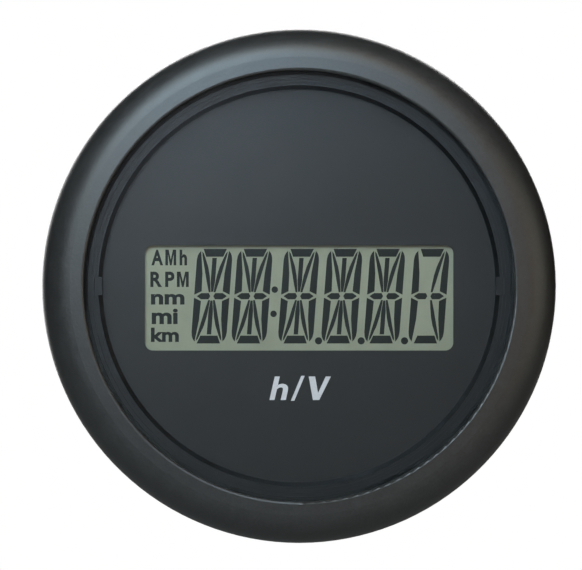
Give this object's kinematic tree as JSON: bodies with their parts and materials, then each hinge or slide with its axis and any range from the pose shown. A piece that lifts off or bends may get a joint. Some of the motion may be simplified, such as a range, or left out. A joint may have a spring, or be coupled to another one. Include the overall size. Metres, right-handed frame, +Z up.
{
  "type": "digital panel gauge",
  "caption": "Round black panel gauge with a segment display, a push-fit bezel, a threaded case, a spin-on clamp nut and a rear plug socket.",
  "frame": {"origin": "on the gauge's axis at the panel seat, which is the back of the panel gasket", "axes": "+Y along the axis from the face to the back, +Z up as the display is read, +X to the reader's right"},
  "size_m": [0.06, 0.0543, 0.06],
  "materials": {
    "bezel_plastic": "moulded, satin grain",
    "lens_clear": "polished, clear",
    "seal_rubber": "moulded, matt",
    "mask_plastic": "moulded, satin",
    "dial_film": "printed, gloss",
    "display_film": "transflective film",
    "cell_glass": "polished",
    "reflector_film": "satin film",
    "diffuser_acrylic": "opal",
    "strip_elastomer": "striped elastomer",
    "carrier_plastic": "moulded, white",
    "screw_steel": "zinc plated",
    "board_laminate": "solder mask over glass laminate",
    "led_resin": "phosphor resin in a white body",
    "chip_epoxy": "moulded epoxy",
    "metal_can": "drawn, satin",
    "chip_ceramic": "fired ceramic",
    "header_plastic": "moulded",
    "pin_brass": "plated",
    "core_ferrite": "sintered",
    "case_plastic": "glass-filled nylon, fine spark texture",
    "vent_fabric": "porous film",
    "nut_plastic": "glass-filled nylon, moulded",
    "washer_plastic": "acetal, moulded"
  },
  "bodies": {
    "gauge": {"bezel": "bezel_plastic", "lens": "lens_clear", "lens_seal": "seal_rubber", "mask_ring": "mask_plastic", "dial": "dial_film", "front_polariser": "display_film", "lcd_front_glass": "cell_glass", "lcd_rear_glass": "cell_glass", "rear_polariser": "reflector_film", "diffuser": "diffuser_acrylic", "contact_strip_upper": "strip_elastomer", "contact_strip_lower": "strip_elastomer", "carrier": "carrier_plastic", "carrier_screws": "screw_steel", "display_board": "board_laminate", "backlight_leds": "led_resin", "microcontroller": "chip_epoxy", "lcd_driver": "chip_epoxy", "crystal": "metal_can", "display_chip_parts": "chip_ceramic", "link_header": "header_plastic", "link_pins": "pin_brass", "standoffs": "pin_brass", "standoff_screws": "screw_steel", "power_board": "board_laminate", "smoothing_capacitors": "metal_can", "inductor": "core_ferrite", "regulator": "chip_epoxy", "surge_diode": "chip_epoxy", "fuse": "chip_ceramic", "power_chip_parts": "chip_ceramic", "connector_shroud": "header_plastic", "connector_pins": "pin_brass", "connector_seal": "seal_rubber", "case": "case_plastic", "vent_membrane": "vent_fabric", "panel_gasket": "seal_rubber"},
    "clamp_washer": {"clamp_washer": "washer_plastic"},
    "clamp_nut": {"clamp_nut": "nut_plastic"}
  },
  "joints": [
    {"name": "washer_slide", "type": "slide", "parent": "gauge", "child": "clamp_washer", "axis": [0, 1, 0], "range_m": [-0.0095, 0.009]},
    {"name": "nut_spin", "type": "hinge", "parent": "clamp_washer", "child": "clamp_nut", "pos_m": [0, 0.016, 0], "axis": [0, 1, 0], "range_deg": [-1139, 1079]}
  ],
  "couplings": [
    {"joint": "washer_slide", "follows": "nut_spin", "m_per_rad": 0.00047746}
  ]
}
